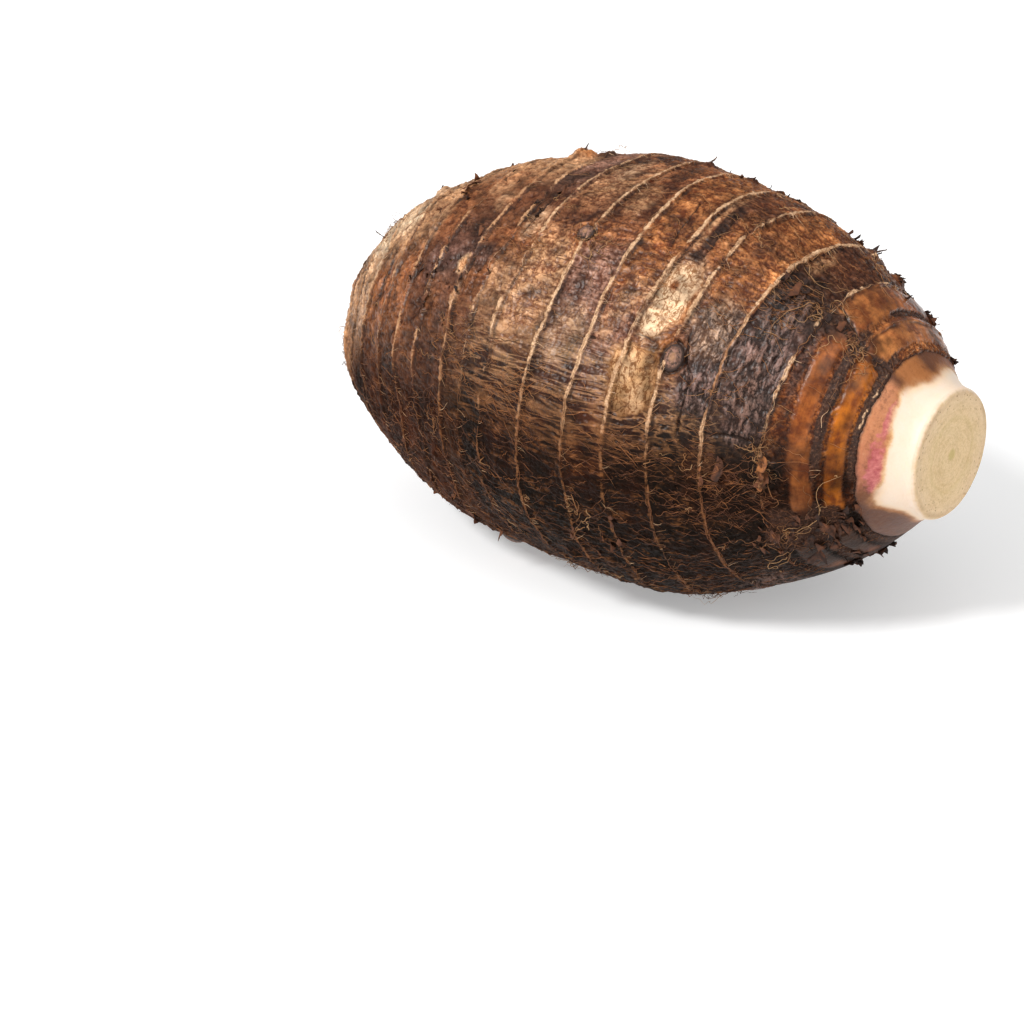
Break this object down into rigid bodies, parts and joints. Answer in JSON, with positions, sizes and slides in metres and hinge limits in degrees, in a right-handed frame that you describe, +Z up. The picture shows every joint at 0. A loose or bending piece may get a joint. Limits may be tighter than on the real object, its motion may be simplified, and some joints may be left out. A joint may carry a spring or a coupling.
{
  "type": "taro root",
  "caption": "Whole taro corm lying on its side: a ringed brown barrel with side buds, a rounded rear end and a trimmed pale neck.",
  "frame": {"origin": "bottom centre of the bounding box, on the surface that the corm lies on", "axes": "+X along the corm from its rounded rear end to its cut neck, +Z up as it lies"},
  "size_m": [0.206, 0.1238, 0.1194],
  "materials": {
    "skin": "matt fibrous brown skin, with glossier leathery patches on the shoulder",
    "neck_flesh": "moist cream flesh of the trimmed neck, with a beige cut face",
    "root_fibre": "dry golden-brown root threads and scar fibres"
  },
  "bodies": {
    "root": {"corm": "skin"}
  },
  "joints": []
}
